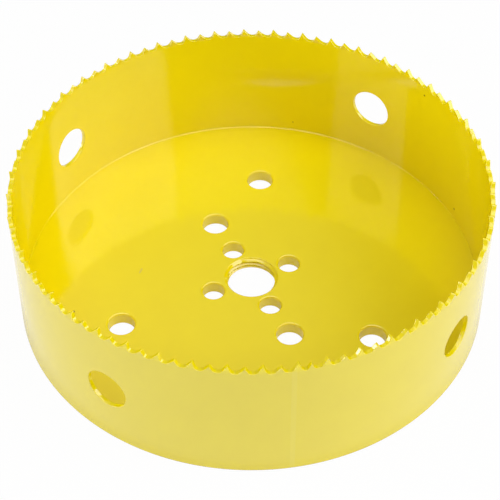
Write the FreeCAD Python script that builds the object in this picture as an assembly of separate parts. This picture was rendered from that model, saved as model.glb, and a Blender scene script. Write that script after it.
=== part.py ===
import FreeCAD, Part
import math
import os

# Hole saw cup, 140 mm over the teeth, without its arbor.
# Millimetres. +Z points from the back face to the teeth.
# The origin is the centre of the back face.

# Wall of the cup
wall_outer_diameter = 139.0
wall_thickness = 1.27
cup_height = 44.0
back_edge_bevel = 0.8

# Teeth
tooth_count = 94
seam_pitch_deg = 2.6         # the one short pitch, across the butt weld
first_tooth_deg = 76.6       # tip of the first tooth after the seam
tooth_depth = 2.2
gullet_radius = 0.85         # between the steep face and the gullet's level floor
gullet_flats_deg = [-45.0, 0.0]   # slopes of the flats that make the round and the floor
rake_deg = 2.0
tooth_back_deg = 48.0        # slope of the tooth's back
outward_set = 0.2            # sideways lean of a tip, alternately out and in
inward_set = 0.4
seam_tooth_set = 0.85        # the last tooth before the seam leans further in

# Side holes in the wall
side_holes = [[29.3, 21.0], [119.05, 22.0], [209.7, 21.9], [299.0, 21.5]]   # degrees round, height
side_hole_diameter = 12.7

# Back plate
plate_thickness = 4.0
hole_edge_bevel = 0.3        # on the inside face, since the back face is ground flat
arbor_thread_diameter = 15.875   # 5/8 in thread, cut to its root diameter
arbor_edge_bevel = 0.2
pin_hole_diameter = 6.5
pin_circle_diameter = 25.4
pin_hole_count = 4
pair_hole_diameter = 7.94
pair_circle_diameter = 50.8
pair_hole_count = 2
pair_turn_deg = 90.0
outer_hole_diameter = 7.94
outer_circle_diameter = 85.5
outer_hole_count = 3

# Weld between wall and plate
root_weld_leg = 0.9

wall_outer_radius = wall_outer_diameter / 2
wall_inner_radius = wall_outer_radius - wall_thickness
tip_radius = wall_outer_radius + outward_set
gullet_height = cup_height - tooth_depth
tooth_pitch_deg = (360.0 - seam_pitch_deg) / (tooth_count - 1)
cutter_overrun = wall_thickness + outward_set + seam_tooth_set
up = FreeCAD.Vector(0, 0, 1)
outward = FreeCAD.Vector(1, 0, 0)
centre = FreeCAD.Vector(0, 0, 0)


def section_point(radius, height):
    return FreeCAD.Vector(radius, 0, height)


def outline(points):
    closed = points + [points[0]]
    edges = [Part.LineSegment(a, b).toShape() for a, b in zip(closed, closed[1:])]
    return Part.Face(Part.Wire(edges))


def ring(points):
    return outline(points).revolve(centre, up, 360)


def turned(shape, angle_deg):
    copy = shape.copy()
    copy.rotate(centre, up, angle_deg)
    return copy


def tooth_angle(index):
    return first_tooth_deg + index * tooth_pitch_deg


def gap_after(index):
    # Degrees from this tooth's tip to the next one's, short across the seam
    return seam_pitch_deg if index % tooth_count == tooth_count - 1 else tooth_pitch_deg


def lean_of(index):
    # Outward set for even teeth, inward for odd ones, more for the last one before the seam
    if index == tooth_count - 1:
        return -seam_tooth_set
    return outward_set if index % 2 == 0 else -inward_set


def gullet_cutter(gap_deg):
    # The space between a tooth tip at angle 0 and the next tip: down the steep face, round into
    # the level floor on a flat, along the floor and up the sloping back. It cuts straight through.
    half_gap = tip_radius * math.sin(math.radians(gap_deg) / 2)
    circle_s = floor_offset() - half_gap
    circle_z = gullet_height + gullet_radius
    slopes = [math.radians(slope) for slope in [-90.0 - rake_deg] + gullet_flats_deg]

    def at(s, z):
        return FreeCAD.Vector(wall_inner_radius - cutter_overrun, s, z)

    over_tips = cup_height + cutter_overrun
    points = [at(half_gap, over_tips), at(-half_gap, over_tips), at(-half_gap, cup_height)]
    for before, after in zip(slopes, slopes[1:]):
        middle = (before + after) / 2
        corner = gullet_radius / math.cos((after - before) / 2)
        points.append(at(circle_s + corner * math.sin(middle), circle_z - corner * math.cos(middle)))
    back_run = tooth_depth / math.tan(math.radians(tooth_back_deg))
    points += [at(half_gap - back_run, gullet_height), at(half_gap, cup_height)]
    cutter = outline(points).extrude(outward * (wall_thickness + 2 * cutter_overrun))
    return turned(cutter, gap_deg / 2)


def floor_offset():
    # From a tooth's tip forward to the lowest line of its gullet
    rake = math.radians(rake_deg)
    return gullet_radius / math.cos(rake) - (tooth_depth - gullet_radius) * math.tan(rake)


def tooth(lean, gap_before, gap_ahead):
    # One tooth with its tip at angle 0, on the wall's top edge between two gullet floors
    section = outline([
        section_point(wall_inner_radius, gullet_height),
        section_point(wall_outer_radius, gullet_height),
        section_point(wall_outer_radius + lean, cup_height),
        section_point(wall_inner_radius + lean, cup_height),
    ])
    floor_ahead = math.degrees(floor_offset() / wall_outer_radius)
    band = turned(section.revolve(centre, up, gap_before), floor_ahead - gap_before)
    return band.cut([turned(gullet_cutter(gap_before), -gap_before), gullet_cutter(gap_ahead)])


def wall():
    blank = ring([
        section_point(wall_inner_radius, 0),
        section_point(wall_outer_radius - back_edge_bevel, 0),
        section_point(wall_outer_radius, back_edge_bevel),
        section_point(wall_outer_radius, gullet_height),
        section_point(wall_inner_radius, gullet_height),
    ])
    return blank.cut([side_drill(turn_deg, height) for turn_deg, height in side_holes])


def side_drill(turn_deg, height):
    drill = Part.makeCylinder(side_hole_diameter / 2, wall_outer_diameter, section_point(0, height), outward)
    return turned(drill, turn_deg)


def saw_ring():
    teeth = []
    for index in range(tooth_count):
        shape = tooth(lean_of(index), gap_after(index - 1), gap_after(index))
        teeth.append(turned(shape, tooth_angle(index)))
    return wall().fuse(teeth)


def plate_drill(diameter, bevel):
    # A drill through the plate with a flare that bevels the hole's edge at the inside face
    radius = diameter / 2
    return ring([
        section_point(0, 0),
        section_point(radius, 0),
        section_point(radius, plate_thickness - bevel),
        section_point(radius + bevel, plate_thickness),
        section_point(0, plate_thickness),
    ])


def hole_circle(count, diameter, circle_diameter, first_deg):
    drill = plate_drill(diameter, hole_edge_bevel)
    drill.translate(outward * (circle_diameter / 2))
    return [turned(drill, first_deg + i * 360.0 / count) for i in range(count)]


def back_plate():
    # A disc that fills the wall's back end
    disc = Part.makeCylinder(wall_inner_radius, plate_thickness)
    holes = [plate_drill(arbor_thread_diameter, arbor_edge_bevel)]
    holes += hole_circle(pin_hole_count, pin_hole_diameter, pin_circle_diameter, 0.0)
    holes += hole_circle(pair_hole_count, pair_hole_diameter, pair_circle_diameter, pair_turn_deg)
    holes += hole_circle(outer_hole_count, outer_hole_diameter, outer_circle_diameter, 0.0)
    return disc.cut(holes)


def root_weld():
    # Fillet in the corner between the plate's inside face and the wall
    return ring([
        section_point(wall_inner_radius, plate_thickness),
        section_point(wall_inner_radius, plate_thickness + root_weld_leg),
        section_point(wall_inner_radius - root_weld_leg, plate_thickness),
    ])


def export(shape, name):
    solid = shape.Solids[0]
    print(name, "solids", len(shape.Solids), "valid", solid.isValid(), "volume", round(solid.Volume, 1))
    solid.exportStep("parts/" + name + ".step")


os.makedirs("parts", exist_ok=True)
export(saw_ring(), "saw_ring")
export(back_plate(), "back_plate")
export(root_weld(), "root_weld")
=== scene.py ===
import bpy
import math
import numpy as np
from mathutils import Matrix, Vector
from mathutils.geometry import delaunay_2d_cdt


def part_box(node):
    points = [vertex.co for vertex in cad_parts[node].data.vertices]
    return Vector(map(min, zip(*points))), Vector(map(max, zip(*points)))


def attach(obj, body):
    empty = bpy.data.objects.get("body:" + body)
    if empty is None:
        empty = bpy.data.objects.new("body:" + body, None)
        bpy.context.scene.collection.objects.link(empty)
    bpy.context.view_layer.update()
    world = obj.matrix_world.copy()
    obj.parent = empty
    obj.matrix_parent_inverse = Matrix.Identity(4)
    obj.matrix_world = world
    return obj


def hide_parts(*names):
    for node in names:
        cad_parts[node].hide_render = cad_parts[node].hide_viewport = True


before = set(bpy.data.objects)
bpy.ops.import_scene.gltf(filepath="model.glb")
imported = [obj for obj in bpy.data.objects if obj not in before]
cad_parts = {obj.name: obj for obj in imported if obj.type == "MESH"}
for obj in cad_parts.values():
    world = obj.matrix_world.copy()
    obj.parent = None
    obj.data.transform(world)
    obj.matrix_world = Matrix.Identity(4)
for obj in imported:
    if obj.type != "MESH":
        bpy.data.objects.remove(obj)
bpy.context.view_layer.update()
print("frame loaded:", sorted(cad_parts))

mm = 0.001                    # sizes below are in millimetres, meshes in metres
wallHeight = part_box("saw_ring")[1].z / mm
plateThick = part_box("back_plate")[1].z / mm
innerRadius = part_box("back_plate")[1].x / mm


# Mesh helpers

def quarterTurn(steps):
    # Angles from 0 to a right angle
    return np.linspace(0, math.pi / 2, steps + 1)


def wholeTurn(columns):
    # Angles of evenly spread columns, the first one not repeated
    return np.linspace(0, 2 * math.pi, columns, endpoint=False)


def cylinderPoints(angle, radius, height):
    # x = radius cos angle, y = radius sin angle, z = height
    angle, radius, height = np.broadcast_arrays(angle, radius, height)
    return np.stack([radius * np.cos(angle), radius * np.sin(angle), height], -1)


def numberGrid(grid, first):
    # Vertex numbers of a grid of points, counted on from the first
    return first + np.arange(grid[..., 0].size).reshape(grid.shape[:2])


def loopFaces(grid):
    # Quads between the rows of a grid of vertex numbers whose columns close on themselves
    right = np.roll(grid, -1, axis=1)
    return np.stack([grid[:-1], right[:-1], right[1:], grid[1:]], axis=-1).reshape(-1, 4)


def makePiece(name, points, faceGroups, flat=()):
    # points: one row a vertex, in mm. faceGroups: arrays of vertex numbers, one row a face.
    # flat: numbers of the groups that are shaded flat.
    corners = np.concatenate([group.ravel() for group in faceGroups])
    used, corners = np.unique(corners, return_inverse=True)
    points = points[used]
    sizes = np.concatenate([np.full(len(group), group.shape[1]) for group in faceGroups])
    smooth = np.concatenate([np.full(len(group), i not in flat) for i, group in enumerate(faceGroups)])
    mesh = bpy.data.meshes.new(name)
    mesh.vertices.add(len(points))
    mesh.vertices.foreach_set("co", (points * mm).astype(np.float32).ravel())
    mesh.loops.add(len(corners))
    mesh.loops.foreach_set("vertex_index", corners.astype(np.int32))
    mesh.polygons.add(len(sizes))
    mesh.polygons.foreach_set("loop_start", (np.cumsum(sizes) - sizes).astype(np.int32))
    mesh.polygons.foreach_set("use_smooth", smooth)
    mesh.update(calc_edges=True)
    piece = bpy.data.objects.new(name, mesh)
    bpy.context.scene.collection.objects.link(piece)
    print(name, "has", len(points), "points")
    return piece


# Toothed wall

wall = {
    "outerRadius": 69.5,
    "teeth": 94,
    "seamPitch": 2.6,         # degrees, the one short pitch at the weld seam
    "firstTooth": 76.6,       # degrees
    "toothDepth": 2.2,
    "gulletRadius": 1.15,     # between the steep face and the floor
    "backSlope": 48.0,        # degrees
    "backRadius": 2.0,        # between the floor and the back
    "rake": -24.0,            # degrees, below 0 since the paint fills the foot of the steep face
    "seamFloor": 0.09,        # level floor kept in the short gullet at the seam
    "outwardSet": 0.2,        # teeth lean out and in by turns
    "inwardSet": 0.55,
    "seamSet": 0.85,          # the last tooth before the seam leans further in
    "bend": 0.25,             # softness of the bend at a tooth's root, as a share of its depth
    "tipRound": 0.18,
    "edgeRound": 0.12,
    "edgeMargin": 0.1,        # from a rounded edge to the next row
    "backRound": 1.1,
    "backInnerRound": 0.1,
    "holes": ((29.3, 21.0), (119.05, 22.0), (209.7, 21.9), (299.0, 21.5)),   # degrees round, height
    "holeRadius": 6.35,
    "holeEdge": 0.16,
    # How the mesh is laid out
    "toothSteps": {"floor": 3, "backArc": 4, "back": 4, "tip": 5, "steep": 3, "gullet": 6},
    "roundSteps": {"edge": 3, "back": 6, "backInner": 3, "hole": 4},
    "toothRows": (0.0, 0.3, 0.6, 0.85, 0.96, 1.0),            # shares of the way up to the outline
    "rootDrop": 0.35, "evenDrop": 0.75, "plainDrop": 1.75,    # rows below the gullets' floor
    "columnPull": 0.8,        # how far behind a tip its column starts
    "coarse": 5,              # columns of the teeth to one of the plain wall
    "window": (11.5, 31.5),   # heights between which the wall is remeshed round the holes
    "windowRows": 21,
    "holeRings": (0.62, 0.38, 0.2, 0.08, 0.02, 0.0),          # shares of the way out to the window
    "aboveWeld": 1.2, "lowRow": 8.0,                          # rows above the plate and above the back
}


def toothOutline():
    # The rim's outline unrolled, tooth by tooth: along the gullet's floor, up its arc and the
    # tooth's back, round the tip on a small arc, down the steep face and into the next gullet. A
    # point of heading h on an arc is centre + radius * (sin h, -cos h), radius negative at a tip.
    count, outer, depth, steps = wall["teeth"], wall["outerRadius"], wall["toothDepth"], wall["toothSteps"]
    pitch = (360.0 - wall["seamPitch"]) / (count - 1)
    index = np.arange(count)
    tip = np.radians(wall["firstTooth"] + index * pitch)
    gapBehind = np.radians(np.where(index == 0, wall["seamPitch"], pitch)) * outer
    gulletR, backR, tipR = wall["gulletRadius"], wall["backRadius"], wall["tipRound"]
    slope, rake = math.radians(wall["backSlope"]), math.radians(wall["rake"])
    steep, root = -math.pi / 2 - rake, wallHeight - depth
    ahead = gulletR / math.cos(rake) - (depth - gulletR) * math.tan(rake)   # from a tip to its gullet
    backStart = -depth / math.tan(slope) - backR * math.tan(slope / 2)

    def sideOf(heading):
        return np.stack([np.sin(heading), -np.cos(heading)], -1)

    def arc(centre, radius, start, end, number):
        heading = start + (end - start) * np.linspace(0, 1, number, endpoint=False)
        return centre + radius * sideOf(heading), heading

    def line(first, last, heading, number):
        share = np.linspace(0, 1, number, endpoint=False)[:, None]
        return first + (last - first) * share, np.full(number, heading)

    backSide, steepSide = sideOf(slope), sideOf(steep)
    backCentre, gulletCentre = np.array([backStart, root + backR]), np.array([ahead, root + gulletR])
    tipCentre = np.array([0, wallHeight]) + tipR * (backSide + steepSide) / (1 + backSide @ steepSide)
    parts = [
        arc(backCentre, backR, 0.0, slope, steps["backArc"]),
        line(backCentre + backR * backSide, tipCentre - tipR * backSide, slope, steps["back"]),
        arc(tipCentre, -tipR, slope, steep, steps["tip"]),
        line(tipCentre - tipR * steepSide, gulletCentre + gulletR * steepSide, steep, steps["steep"]),
        arc(gulletCentre, gulletR, steep, 0.0, steps["gullet"]),
    ]
    profile = np.concatenate([part[0] for part in parts])
    room = gapBehind - ahead - wall["seamFloor"]
    squeeze = np.minimum(1, room / -backStart)[:, None]       # a shorter back at the seam
    along = profile[:, 0] * np.where(profile[:, 0] < 0, squeeze, 1)
    floorShare = np.linspace(0, 1, steps["floor"], endpoint=False)
    floor = (ahead - gapBehind)[:, None] * (1 - floorShare) + backStart * squeeze * floorShare
    place = np.concatenate([floor, along], 1)
    columns = place.shape[1]
    heading = np.concatenate([np.zeros(len(floorShare))] + [part[1] for part in parts])
    height = np.concatenate([np.full(len(floorShare), root), profile[:, 1]])
    lean = np.where(index % 2 == 0, wall["outwardSet"], -wall["inwardSet"])
    lean[-1] = -wall["seamSet"]
    share = np.arange(columns) / columns
    even = tip[:, None] + (ahead - gapBehind[:, None] * (1 - share)) / outer
    return {
        "angle": (tip[:, None] + place / outer).ravel(),
        "height": np.tile(height, count),
        "heading": np.tile(heading, count),
        "lean": np.repeat(lean, columns),
        "even": even.ravel(),     # the same columns spread evenly from gullet to gullet
    }


def rimRows():
    # Each column starts on the wall below its gullet, runs up to its point of the outline, round
    # the edge, across the wall's thickness and down inside. The lean grows with height above the
    # root: hypot(height, bend) - bend, so that it starts softly and goes on straight.
    line = toothOutline()
    outer, edge, depth = wall["outerRadius"], wall["edgeRound"], wall["toothDepth"]
    root, inset = wallHeight - depth, edge + wall["edgeMargin"]
    rootRow, evenRow = root - wall["rootDrop"], root - wall["evenDrop"]
    openAngle, openHeight = -np.sin(line["heading"]) / outer, np.cos(line["heading"])
    insetAngle = line["angle"] - edge * openAngle
    insetHeight = line["height"] - edge * openHeight
    rooted = line["angle"] - wall["columnPull"] / outer * (line["height"] - root) / depth

    def leaned(radius, height):
        share, bend = np.clip((height - root) / depth, 0, 1), wall["bend"]
        return radius + line["lean"] * (np.hypot(share, bend) - bend) / (math.hypot(1, bend) - bend)

    rows = [((line["even"] + rooted) / 2, np.full_like(rooted, evenRow), 0.0)]
    for share in wall["toothRows"]:
        height = rootRow + share * (insetHeight - rootRow)
        rows.append((rooted + share * (insetAngle - rooted), height, 0.0))
    for turn in quarterTurn(wall["roundSteps"]["edge"])[1:]:
        out, down = edge * math.sin(turn), edge * (1 - math.cos(turn))
        rows.append((insetAngle + out * openAngle, insetHeight + out * openHeight, down))
    outside = [cylinderPoints(a, leaned(outer - down, z), z) for a, z, down in rows]
    inside = [cylinderPoints(a, leaned(innerRadius + down, z), z) for a, z, down in reversed(rows)]
    across = [cylinderPoints(line["angle"], leaned(radius, line["height"]), line["height"])
              for radius in (outer - inset, innerRadius + inset)]
    return np.stack(outside + across + inside), line["even"]


def wallSection():
    # The plain wall's section as radius and height: down the inside, round the back edges and up
    # the outside, with the numbers of the rows that cross the window inside and outside
    outer, back, small = wall["outerRadius"], wall["backRound"], wall["backInnerRound"]
    top = wallHeight - wall["toothDepth"] - wall["plainDrop"]
    window = np.linspace(*wall["window"], wall["windowRows"])
    lowRows = [plateThick + wall["aboveWeld"], wall["lowRow"]]
    heights = np.concatenate([lowRows, window, [(window[-1] + top) / 2, top]])
    turnIn, turnOut = (quarterTurn(wall["roundSteps"][kind]) for kind in ("backInner", "back"))
    section = np.concatenate([
        np.stack([np.full(len(heights) + 1, innerRadius), np.append(heights[::-1], plateThick)], 1),
        np.stack([innerRadius + small * (1 - np.cos(turnIn)), small * (1 - np.sin(turnIn))], 1),
        np.stack([outer - back + back * np.sin(turnOut), back - back * np.cos(turnOut)], 1),
        [[outer, back + wall["edgeMargin"]]],
        np.stack([np.full(len(heights), outer), heights], 1),
    ])
    nearly = 0.01
    inWindow = (section[:, 1] >= window[0] - nearly) & (section[:, 1] <= window[-1] + nearly)
    outside = section[:, 0] > (innerRadius + outer) / 2
    return section, np.flatnonzero(inWindow & ~outside)[::-1], np.flatnonzero(inWindow & outside)


def holeRings(middle, holeHeight, offset, height):
    # Rings from the square window to the hole's edge, round it, through the wall, and out again
    # inside. A ring is side = r cos a, height = r sin a, laid on the wall at x = sqrt(R^2 - side^2).
    hole, edge, outer = wall["holeRadius"], wall["holeEdge"], wall["outerRadius"]
    rise = height - holeHeight
    direction = np.arctan2(rise, outer * np.sin(offset))
    circle = np.stack([np.cos(direction), np.sin(direction)])
    lip = (hole + edge) * circle
    rings = []
    for radius, inward in ((outer, 1), (innerRadius, -1)):
        square = np.stack([radius * np.sin(offset), rise])
        face = [(lip + share * (square - lip), radius) for share in wall["holeRings"]]
        for turn in quarterTurn(wall["roundSteps"]["hole"])[1:]:
            bore = hole + edge * (1 - math.sin(turn))
            face.append((bore * circle, radius - inward * edge * (1 - math.cos(turn))))
        rings += face[::inward]
    side, rise = np.stack([ring for ring, radius in rings], axis=1)
    x = np.sqrt(np.array([[radius] for ring, radius in rings]) ** 2 - side ** 2)
    cosine, sine = math.cos(middle), math.sin(middle)
    return np.stack([x * cosine - side * sine, x * sine + side * cosine, rise + holeHeight], -1)


def toothedWall():
    # Closed grids that share their edge points: the rim, the plain wall with fewer columns, and a
    # patch of rings in a square window of the wall at each side hole
    rim, even = rimRows()
    section, innerRows, outerRows = wallSection()
    coarse = wall["coarse"]
    columnAngle = even[::coarse]
    body = cylinderPoints(columnAngle[None], section[:, :1], section[:, 1:])
    rimGrid = numberGrid(rim, 0)
    bodyGrid = numberGrid(body, rimGrid.size)
    points, patches = [rim.reshape(-1, 3), body.reshape(-1, 3)], []
    made = rimGrid.size + bodyGrid.size
    keep = np.ones((len(section) - 1, len(columnAngle)), bool)
    reach = (wall["window"][1] - wall["window"][0]) / 2 / wall["outerRadius"]

    def around(values, rows, columns):
        # Once round the border of a block of a grid
        block = values[np.ix_(rows, columns)]
        return np.concatenate([block[0, :-1], block[:-1, -1], block[-1, :0:-1], block[:0:-1, 0]])

    for turn, holeHeight in wall["holes"]:
        middle = math.radians(turn)
        offset = (columnAngle - middle + math.pi) % (2 * math.pi) - math.pi
        order = np.argsort(offset)
        columns = order[np.searchsorted(offset[order], -reach):np.searchsorted(offset[order], reach)]
        for rows in (innerRows, outerRows):
            keep[np.ix_(np.arange(rows.min(), rows.max()), columns[:-1])] = False
        border = [around(values, outerRows, columns)
                  for values in np.broadcast_arrays(offset[None], section[:, 1:])]
        rings = holeRings(middle, holeHeight, *border)
        ringGrid = numberGrid(rings, made)
        made += ringGrid.size
        points.append(rings.reshape(-1, 3))
        squares = [around(bodyGrid, rows, columns) for rows in (outerRows, innerRows)]
        patches.append(loopFaces(np.vstack([squares[0], ringGrid, squares[1]])))

    def joins(fineLine, coarseLine):
        # One face between each coarse column and the fine ones beside it
        column = np.arange(len(columnAngle))[:, None]
        fine = fineLine[(column * coarse + np.arange(coarse + 1)) % len(fineLine)]
        return np.hstack([fine, coarseLine[(column + np.array([1, 0])) % len(columnAngle)]])

    groups = [loopFaces(rimGrid), loopFaces(bodyGrid)[keep.ravel()], *patches]
    groups += [joins(rimGrid[-1], bodyGrid[0]), joins(rimGrid[0], bodyGrid[-1])[:, ::-1]]
    return makePiece("toothedWall", np.vstack(points), groups)


# Back plate with its holes

plate = {
    "pinHole": 3.25, "pinCircle": 12.7, "pinCount": 4, "pinTurn": 0.0,
    "pairHole": 3.97, "pairCircle": 25.4, "pairCount": 2, "pairTurn": 90.0,
    "outerHole": 3.97, "outerCircle": 42.75, "outerCount": 3, "outerTurn": 0.0,
    "insideEdge": 0.55,       # rounding of the hole edges at the inside face
    "backEdge": 0.1,
    "flatMargin": 0.05,
    "threadRadius": 7.9375, "threadDepth": 0.8, "threadPitch": 1.411, "threadFlat": 0.12,
    "threadTurn": 0.5,        # share of a turn
    "insideSink": 0.2, "backSink": -0.19,   # edge of the bore at each face, beyond the thread's root
    "edgeColumns": 360, "holeColumns": 96, "threadColumns": 144, "threadRows": 52, "edgeSteps": 4,
}


def holeBore(radius):
    # Section of a plain hole from the inside face to the back: flat margin, rounded edge, bore,
    # rounded edge, flat margin
    lead, trail = plate["insideEdge"], plate["backEdge"]
    turn = quarterTurn(plate["edgeSteps"])
    top = np.stack([radius + lead * (1 - np.sin(turn)), plateThick - lead * (1 - np.cos(turn))], 1)
    low = np.stack([radius + trail * (1 - np.cos(turn)), trail * (1 - np.sin(turn))], 1)
    margin = plate["flatMargin"]
    return np.vstack([[radius + lead + margin, plateThick], top, low, [radius + trail + margin, 0]])


def plainHole(centre, section):
    # The section carried round the hole's centre
    angle = wholeTurn(plate["holeColumns"])
    return np.array([*centre, 0]) + cylinderPoints(angle[None], section[:, :1], section[:, 1:])


def threadedBore():
    # Radius as a function of angle and height: the root radius less a ridge that climbs one pitch
    # a turn, cut back by a 45 degree cone at each face.
    root, margin = plate["threadRadius"], plate["flatMargin"]
    height = np.linspace(plateThick, 0, plate["threadRows"])[:, None]
    angle = wholeTurn(plate["threadColumns"])[None]
    phase = (height / plate["threadPitch"] - angle / (2 * math.pi) + plate["threadTurn"]) % 1
    ridge = np.clip((np.abs(2 * phase - 1) - plate["threadFlat"]) / (1 - 2 * plate["threadFlat"]), 0, 1)
    thread = root - plate["threadDepth"] * ridge
    insideCone = root + plate["insideSink"] - (plateThick - height)
    backCone = root + plate["backSink"] - height
    bore = cylinderPoints(angle, np.maximum(np.maximum(insideCone, backCone), thread), height)
    insideEdge = cylinderPoints(angle, root + plate["insideSink"] + margin, plateThick)
    backEdge = cylinderPoints(angle, root + plate["backSink"] + margin, 0.0)
    return np.vstack([insideEdge, bore, backEdge])


def flatFace(rings, ringNumbers, upward):
    # The plate's flat face between its outline, which is the first ring, and its holes, as
    # triangles between their points
    flatPoints = np.concatenate([ring[:, :2] for ring in rings])
    lengths = [len(ring) for ring in rings]
    starts = np.cumsum([0] + lengths)
    edges = [(start + i, start + (i + 1) % length)
             for start, length in zip(starts, lengths) for i in range(length)]
    samePoint = 1e-6
    made = delaunay_2d_cdt([Vector(point) for point in flatPoints], edges, [], 0, samePoint)
    triangles, origins = np.array(made[2]), np.array([origin[0] for origin in made[3]])
    triangles = origins[triangles]
    ringOf = np.repeat(np.arange(len(rings)), lengths)[triangles]
    inHole = (ringOf == ringOf[:, :1]).all(1) & (ringOf[:, 0] > 0)
    triangles = triangles[~inHole]
    a, b, c = (flatPoints[triangles[:, i]] for i in range(3))
    area = (b - a)[:, 0] * (c - a)[:, 1] - (b - a)[:, 1] * (c - a)[:, 0]
    turnedWrong = (area > 0) != upward
    triangles[turnedWrong] = triangles[turnedWrong][:, ::-1]
    return np.concatenate(ringNumbers)[triangles]


def backPlate():
    # Each hole and the plate's edge is a section carried round a circle; two flat faces join them
    turn = quarterTurn(wall["roundSteps"]["backInner"])
    small, margin = wall["backInnerRound"], plate["flatMargin"]
    rim = np.vstack([
        [innerRadius - small - margin, 0],
        np.stack([innerRadius - small * (1 - np.sin(turn)), small * (1 - np.cos(turn))], 1),
        [innerRadius, plateThick],
    ])
    edgeAngle = wholeTurn(plate["edgeColumns"])
    grids = [cylinderPoints(edgeAngle[None], rim[:, :1], rim[:, 1:]), threadedBore()]
    for kind in ("pin", "pair", "outer"):
        count = plate[kind + "Count"]
        for number in range(count):
            at = math.radians(plate[kind + "Turn"]) + number * 2 * math.pi / count
            centre = plate[kind + "Circle"] * np.array([math.cos(at), math.sin(at)])
            grids.append(plainHole(centre, holeBore(plate[kind + "Hole"])))
    numbers, made = [], 0
    for grid in grids:
        numbers.append(numberGrid(grid, made))
        made += numbers[-1].size
    groups = [loopFaces(rows) for rows in numbers]
    for edgeRow, holeRow, upward in ((-1, 0, True), (0, -1, False)):
        rings = [grids[0][edgeRow]] + [grid[holeRow] for grid in grids[1:]]
        ringNumbers = [numbers[0][edgeRow]] + [rows[holeRow] for rows in numbers[1:]]
        groups.append(flatFace(rings, ringNumbers, upward))
    points = np.concatenate([grid.reshape(-1, 3) for grid in grids])
    return makePiece("backPlate", points, groups, flat=(len(groups) - 2, len(groups) - 1))


# Weld in the corner between wall and plate

weld = {
    "leg": 0.42, "sway": 0.4, "swells": (23, 41, 67),         # sway is a share of the leg
    "thinAt": 168.0, "thinReach": 32.0, "thinShare": 0.7,     # degrees, where it is filled with paint
    "columns": 480, "steps": 6,
}


def rootWeld():
    # A hollow quarter circle carried round the corner, its leg swelling a little along the way and
    # thinner by thinShare * exp(-(offset / thinReach)^2) about thinAt
    angle = wholeTurn(weld["columns"])[None]
    swell = sum(np.sin(n * angle + n) / len(weld["swells"]) for n in weld["swells"])
    leg = weld["leg"] * (1 - weld["sway"] / 2 + weld["sway"] / 2 * swell)
    offset = (np.degrees(angle) - weld["thinAt"] + 180) % 360 - 180
    leg = leg * (1 - weld["thinShare"] * np.exp(-(offset / weld["thinReach"]) ** 2))
    turn = quarterTurn(weld["steps"])[:, None]
    radius = innerRadius - leg * (1 - np.sin(turn))
    height = plateThick + leg * (1 - np.cos(turn))
    corner = cylinderPoints(angle, innerRadius, plateThick)
    points = np.vstack([cylinderPoints(angle, radius, height), corner])
    numbers = numberGrid(points, 0)
    faces = loopFaces(np.vstack([numbers, numbers[:1]])[::-1])
    return makePiece("rootWeld", points.reshape(-1, 3), [faces])


sawWall, sawPlate, sawWeld = toothedWall(), backPlate(), rootWeld()


# Node helpers

def setInputs(tree, node, inputs):
    # Each input, by name or number, takes another node's output as a link and all else as its value
    for name, value in inputs.items():
        if isinstance(value, bpy.types.NodeSocket):
            tree.links.new(value, node.inputs[name])
        else:
            node.inputs[name].default_value = value


def addNode(tree, kind, inputs, **settings):
    # The settings come first, since some of them change the node's sockets
    node = tree.nodes.new("ShaderNode" + kind)
    for name, setting in settings.items():
        setattr(node, name, setting)
    setInputs(tree, node, inputs)
    return node


def mathNode(tree, operation, *values):
    return addNode(tree, "Math", dict(enumerate(values)), operation=operation).outputs[0]


def mapRange(tree, value, start, end, low=0.0, high=1.0, curve="LINEAR"):
    # low where the value is at start, high where it is at end
    inputs = {"Value": value, "From Min": start, "From Max": end, "To Min": low, "To Max": high}
    return addNode(tree, "MapRange", inputs, interpolation_type=curve).outputs["Result"]


def farAlong(tree, place, turn):
    # How far a place lies along the level direction at that turn from +X
    direction = (math.cos(turn), math.sin(turn), 0)
    return addNode(tree, "VectorMath", {0: place, 1: direction}, operation="DOT_PRODUCT").outputs["Value"]


# Paint

paint = {
    "color": (0.9, 0.744, 0.0005, 1),
    "deepColor": (0.885, 0.724, 0.0005, 1),
    "roughness": 0.24,
    "roughSpread": (0.8, 1.25),      # times the roughness
    "coatRoughness": 0.09,
    "coatIor": 1.9,
    "mottleSize": 9.0,        # mm
    "mottleRange": (0.35, 0.75),
    "mottleDetail": 4.0,
    "roughSize": 3.0,
    "roughDetail": 2.0,
    "peelSize": 1.4,
    "peelDepth": 0.004,
    "waveSize": 16.0,
    "waveDepth": 0.02,
    "seamAt": 72.95,          # degrees, the middle of the ground butt weld
    "seamWidth": 1.5,         # mm
    "seamInset": 0.3,         # from half that width in to where it starts to fade
    "seamFade": 0.5,
    "seamSkin": 0.5,          # how deep below the wall's outer face it still shows
    "seamDepth": 0.018,
    "paleColor": (0.9, 0.78, 0.09, 1),
    "seamShare": 0.25,
    "speckColor": (0.16, 0.09, 0.0, 1),
    "specks": (               # place and size
        ((-68.0, 5.2, 7.7), 0.34),
        ((-66.5, -15.1, 39.1), 0.3),
        ((-41.9, -53.8, 7.3), 0.2),
        ((63.55, 23.45, 43.65), 0.45),
    ),
    "speckCore": 0.5,         # share of the size that is fully dark
    "scratch": ((28.2, -18.0, 4.0), (29.8, -16.4, 4.0)),      # its two ends
    "scratchWidth": 0.16,
    "scratchColor": (0.77, 0.62, 0.06, 1),
}


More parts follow.
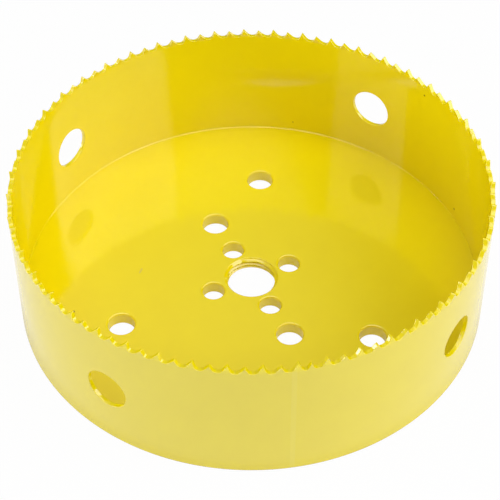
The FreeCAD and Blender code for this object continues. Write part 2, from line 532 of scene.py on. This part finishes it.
def paintMaterial():
    # A yellow coat, mottled and gently waved, tinted along the seam, the scratch and the specks
    material = bpy.data.materials.new("yellowPaint")
    material.use_nodes = True
    tree = material.node_tree
    shader = tree.nodes["Principled BSDF"]
    place = addNode(tree, "TexCoord", {}).outputs["Object"]

    def noise(size, detail):
        inputs = {"Vector": place, "Scale": 1 / (size * mm), "Detail": detail}
        return addNode(tree, "TexNoise", inputs).outputs["Fac"]

    def within(distance, reach, softness):
        # 1 up to reach, 0 beyond reach + softness
        return mapRange(tree, distance, (reach + softness) * mm, reach * mm, curve="SMOOTHSTEP")

    def distanceTo(point):
        inputs = {0: place, 1: Vector(point) * mm}
        return addNode(tree, "VectorMath", inputs, operation="DISTANCE").outputs["Value"]

    def tinted(base, color, mask):
        # base where the mask is 0, color where it is 1
        return addNode(tree, "Mix", {"Factor": mask, 6: base, 7: color}, data_type="RGBA").outputs[2]

    mottle = mapRange(tree, noise(paint["mottleSize"], paint["mottleDetail"]), *paint["mottleRange"])
    color = tinted(paint["color"], paint["deepColor"], mottle)

    # The ground seam is the strip of the wall's outer face within half its width of the seam's
    # upright plane
    seam = math.radians(paint["seamAt"])
    fromPlane = mathNode(tree, "ABSOLUTE", farAlong(tree, place, seam + math.pi / 2))
    skinStart = (wall["outerRadius"] - paint["seamSkin"]) * mm
    onFace = mathNode(tree, "GREATER_THAN", farAlong(tree, place, seam), skinStart)
    strip = within(fromPlane, paint["seamWidth"] / 2 - paint["seamInset"], paint["seamFade"])
    strip = mathNode(tree, "MULTIPLY", strip, onFace)
    color = tinted(color, paint["paleColor"], mathNode(tree, "MULTIPLY", strip, paint["seamShare"]))

    # A scratch is where the way over a point to its two ends is hardly longer than its length
    start, end = paint["scratch"]
    way = mathNode(tree, "ADD", distanceTo(start), distanceTo(end))
    detour = mathNode(tree, "SUBTRACT", way, (Vector(start) - Vector(end)).length * mm)
    color = tinted(color, paint["scratchColor"], within(detour, 0.0, paint["scratchWidth"]))
    for point, size in paint["specks"]:
        color = tinted(color, paint["speckColor"], within(distanceTo(point), size * paint["speckCore"], size))

    low, high = (paint["roughness"] * share for share in paint["roughSpread"])
    roughness = mapRange(tree, noise(paint["roughSize"], paint["roughDetail"]), 0.0, 1.0, low, high)
    inputs = {}
    heights = (
        (noise(paint["waveSize"], 0.0), paint["waveDepth"]),
        (noise(paint["peelSize"], 0.0), paint["peelDepth"]),
        (strip, paint["seamDepth"]),
    )
    for height, depth in heights:
        inputs.update({"Height": height, "Distance": depth * mm})
        inputs["Normal"] = addNode(tree, "Bump", inputs).outputs["Normal"]
    setInputs(tree, shader, {
        "Base Color": color,
        "Roughness": roughness,
        "Specular IOR Level": 0.0,
        "Coat Weight": 1.0,
        "Coat IOR": paint["coatIor"],
        "Coat Roughness": paint["coatRoughness"],
        "Normal": inputs["Normal"],
        "Coat Normal": inputs["Normal"],
    })
    return material


yellowPaint = paintMaterial()
for piece, node in ((sawWall, "saw_ring"), (sawPlate, "back_plate"), (sawWeld, "root_weld")):
    piece.data.materials.append(yellowPaint)
    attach(piece, "root")
    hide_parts(node)
print("pieces painted")


# Camera, floor and light

view = {
    "turn": 63.77,            # degrees round from +X
    "distance": 330.6,        # mm from the axis
    "height": 358.7,
    "down": 46.053,           # degrees
    "yaw": -0.069,
    "roll": -0.15,
    "lens": 115.2,            # mm on a 36 mm sensor
}


def fromCamera(azimuth):
    # Radians round from +X of an azimuth that is counted in degrees from the camera's right
    return math.radians(azimuth + view["turn"] + 90)


def makeCamera():
    down, yaw, roll = (math.radians(view[key]) for key in ("down", "yaw", "roll"))
    ahead = Vector((math.sin(yaw) * math.cos(down), math.cos(yaw) * math.cos(down), -math.sin(down)))
    levelRight = Vector((math.cos(yaw), -math.sin(yaw), 0))
    levelUp = levelRight.cross(ahead)
    right = math.cos(roll) * levelRight + math.sin(roll) * levelUp
    up = math.cos(roll) * levelUp - math.sin(roll) * levelRight
    facing = Matrix((right, up, -ahead)).transposed().to_4x4()
    place = Vector((0, -view["distance"] * mm, view["height"] * mm))
    data = bpy.data.cameras.new("camera")
    data.lens, data.sensor_width = view["lens"], 36.0
    data.clip_start = 0.01
    camera = bpy.data.objects.new("camera", data)
    camera.matrix_world = Matrix.Rotation(fromCamera(0), 4, "Z") @ Matrix.Translation(place) @ facing
    bpy.context.scene.collection.objects.link(camera)
    bpy.context.scene.camera = camera


ground = {
    "reach": 1.5,             # m from the axis to each side
    "grey": 0.75,
    "roughness": 0.9,
    "seenShare": 0.97,        # how much of what the camera sees is plain white
    "paintedShadowShare": 0.15,       # and of what the paint mirrors, below the cup, where it is cut down as a painted shadow
    "aroundShare": 0.95,
    "below": -1.0, "around": 4.0,    # mm from the wall's outer face
}


def makeFloor():
    reach, grey = ground["reach"], ground["grey"]
    mesh = bpy.data.meshes.new("floor")
    corners = [(-reach, -reach, 0), (reach, -reach, 0), (reach, reach, 0), (-reach, reach, 0)]
    mesh.from_pydata(corners, [], [(0, 1, 2, 3)])
    floor = bpy.data.objects.new("floor", mesh)
    bpy.context.scene.collection.objects.link(floor)
    material = bpy.data.materials.new("paleFloor")
    material.use_nodes = True
    tree = material.node_tree
    shader = tree.nodes["Principled BSDF"]
    setInputs(tree, shader, {
        "Base Color": (grey, grey, grey, 1),
        "Roughness": ground["roughness"],
        "Specular IOR Level": 0.0,
    })
    glow = addNode(tree, "Emission", {"Strength": 1.0})
    path = addNode(tree, "LightPath", {})

    # White for nearly all that the camera sees and that the paint mirrors, but hardly mirrored in
    # the dark below the cup: a painted shadow, since the glow the paint mirrors is cut down there
    place = addNode(tree, "TexCoord", {}).outputs["Object"]
    fromAxis = addNode(tree, "VectorMath", {0: place}, operation="LENGTH").outputs["Value"]
    start, end = ((wall["outerRadius"] + ground[key]) * mm for key in ("below", "around"))
    # painted shadow: the mirrored glow falls to the shadow share within the cup's outline
    outside = mapRange(tree, fromAxis, start, end, ground["paintedShadowShare"], ground["aroundShare"])
    mirrored = mathNode(tree, "ADD", path.outputs["Is Glossy Ray"], path.outputs["Is Transmission Ray"])
    mirrored = mathNode(tree, "MULTIPLY", mirrored, outside)
    seen = mathNode(tree, "MULTIPLY", path.outputs["Is Camera Ray"], ground["seenShare"])
    share = mathNode(tree, "ADD", seen, mirrored)
    mix = addNode(tree, "MixShader", {"Fac": share, 1: shader.outputs[0], 2: glow.outputs[0]})
    setInputs(tree, tree.nodes["Material Output"], {"Surface": mix.outputs[0]})
    mesh.materials.append(material)


studio = {
    # Brightness by the sine of the elevation: pale near the horizon, dim above it, pale overhead
    "levels": ((0.0, 0.19), (0.38, 0.19), (0.56, 0.1), (0.66, 0.1), (0.75, 0.38)),
    "darkRight": (0.0, 0.12), "darkBack": (0.0, 0.4),      # where the dark back right starts and is full
    "darkShare": 0.85,
    "lampDistance": 1.2,      # m
    # Azimuth from the camera's right and elevation in degrees, size in m, power in W, shape
    "lamps": {
        "rightLight": (351.5, 36, (1.27, 0.78), 8.2, "RECTANGLE"),
        "topLight": (280, 74.5, (1.5, 1.5), 7.8, "DISK"),
        "leftLight": (205, 43, (0.65, 0.3), 0.85, "RECTANGLE"),
        "lowLight": (184, 13, (0.7, 0.36), 4.8, "RECTANGLE"),
        "frontLight": (280, 13, (0.8, 0.34), 1.2, "RECTANGLE"),
    },
}


def makeWorld():
    world = bpy.data.worlds.new("studio")
    bpy.context.scene.world = world
    world.use_nodes = True
    tree = world.node_tree
    direction = addNode(tree, "TexCoord", {}).outputs["Generated"]
    elevation = addNode(tree, "SeparateXYZ", {0: direction}).outputs["Z"]
    level = addNode(tree, "ValToRGB", {"Fac": elevation})
    stops = level.color_ramp.elements
    for _ in range(len(studio["levels"]) - len(stops)):
        stops.new(0.5)
    for stop, (height, strength) in zip(stops, studio["levels"]):
        stop.position, stop.color = height, (strength, strength, strength, 1)
    toRight, toBack = (
        mapRange(tree, farAlong(tree, direction, fromCamera(azimuth)), *studio[key], curve="SMOOTHSTEP")
        for azimuth, key in ((0, "darkRight"), (90, "darkBack"))
    )
    dark = mathNode(tree, "MULTIPLY", mathNode(tree, "MULTIPLY", toRight, toBack), studio["darkShare"])
    strength = mathNode(tree, "SUBTRACT", 1.0, dark)
    setInputs(tree, tree.nodes["Background"], {"Color": level.outputs["Color"], "Strength": strength})


def softLight(name, azimuth, elevation, size, power, shape):
    # An area light that faces the middle of the cup's back
    turn, rise = fromCamera(azimuth), math.radians(elevation)
    away = Vector((math.cos(turn) * math.cos(rise), math.sin(turn) * math.cos(rise), math.sin(rise)))
    facing = away.to_track_quat("Z", "Y").to_matrix().to_4x4()
    data = bpy.data.lights.new(name, "AREA")
    data.shape, data.energy = shape, power
    data.size, data.size_y = size
    lamp = bpy.data.objects.new(name, data)
    lamp.matrix_world = Matrix.Translation(away * studio["lampDistance"]) @ facing
    bpy.context.scene.collection.objects.link(lamp)


makeCamera()
makeFloor()
makeWorld()
for name, lamp in studio["lamps"].items():
    softLight(name, *lamp)
bpy.context.scene.view_settings.view_transform = "Standard"
print("floor, light and camera placed")
